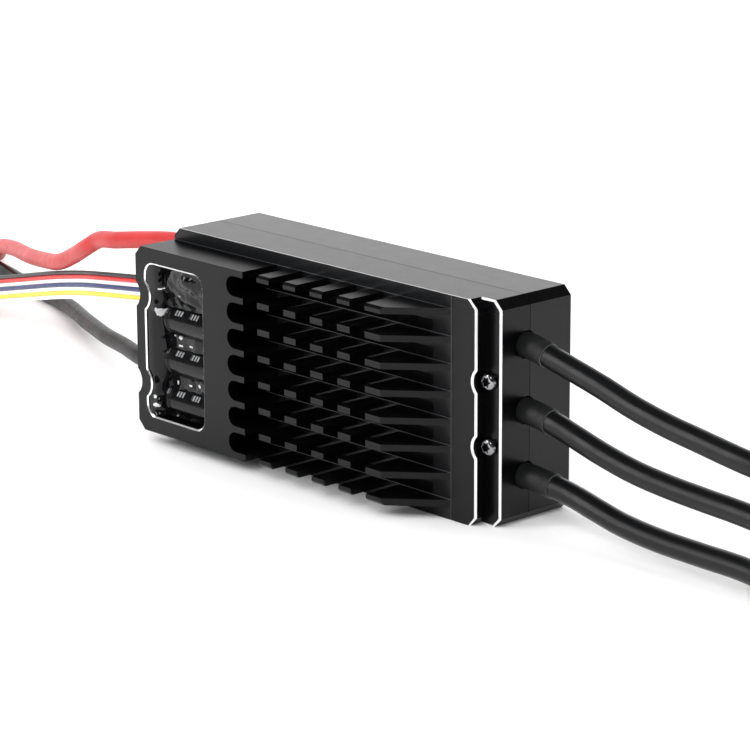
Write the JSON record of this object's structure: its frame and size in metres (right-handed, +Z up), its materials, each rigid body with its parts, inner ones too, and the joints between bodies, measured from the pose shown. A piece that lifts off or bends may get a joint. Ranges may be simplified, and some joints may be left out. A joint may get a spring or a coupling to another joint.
{
  "type": "electronic_speed_controller",
  "caption": "High-current brushless motor speed controller in a finned black aluminium case, with phase leads, battery leads and a signal ribbon",
  "frame": {"origin": "centre of the narrow side it stands on", "axes": "+X towards the end with the phase leads, +Y towards the flat mounting side, +Z up, across the width of the case"},
  "size_m": [0.5245, 0.1098, 0.061],
  "materials": {
    "anodised": "satin black anodised",
    "steel": "plain",
    "copper": "bare copper",
    "tin": "tinned",
    "gold": "gold plated",
    "sleeve": "shrunk sleeve",
    "black_silicone": "satin",
    "red_silicone": "satin",
    "ribbon": "seven coloured strands",
    "black_plastic": "moulded",
    "board": "solder mask",
    "epoxy": "moulded package",
    "resin": "poured, glossy",
    "pad": "soft silicone"
  },
  "bodies": {
    "root": {"battery_lead_black": "black_silicone", "battery_lead_red": "red_silicone", "board_link_header": "black_plastic", "board_standoff_1": "tin", "board_standoff_2": "tin", "board_standoff_3": "tin", "board_standoff_4": "tin", "busbar_negative": "copper", "busbar_positive": "copper", "capacitor_1": "sleeve", "capacitor_2": "sleeve", "capacitor_3": "sleeve", "capacitor_4": "sleeve", "control_board": "board", "gate_driver_a": "epoxy", "gate_driver_b": "epoxy", "gate_driver_c": "epoxy", "grommet_negative": "black_plastic", "grommet_positive": "black_plastic", "heatsink_housing": "anodised", "microcontroller": "epoxy", "mosfet_lower_1": "epoxy", "mosfet_lower_2": "epoxy", "mosfet_lower_3": "epoxy", "mosfet_lower_4": "epoxy", "mosfet_middle_1": "epoxy", "mosfet_middle_2": "epoxy", "mosfet_middle_3": "epoxy", "mosfet_middle_4": "epoxy", "mosfet_upper_1": "epoxy", "mosfet_upper_2": "epoxy", "mosfet_upper_3": "epoxy", "mosfet_upper_4": "epoxy", "phase_bullet_a": "gold", "phase_bullet_b": "gold", "phase_bullet_c": "gold", "phase_lead_a": "black_silicone", "phase_lead_b": "black_silicone", "phase_lead_c": "black_silicone", "phase_sleeve_a": "sleeve", "phase_sleeve_b": "sleeve", "phase_sleeve_c": "sleeve", "phase_terminal_a": "copper", "phase_terminal_b": "copper", "phase_terminal_c": "copper", "potting_resin": "resin", "power_board": "board", "rear_cover": "anodised", "rear_screw_lower": "steel", "rear_screw_upper": "steel", "shelf_screw_lower": "steel", "shelf_screw_upper": "steel", "signal_grommet": "black_plastic", "signal_plug": "black_plastic", "signal_ribbon": "ribbon", "signal_ribbon_tail": "ribbon", "signal_socket": "black_plastic", "thermal_pad": "pad"}
  },
  "joints": []
}
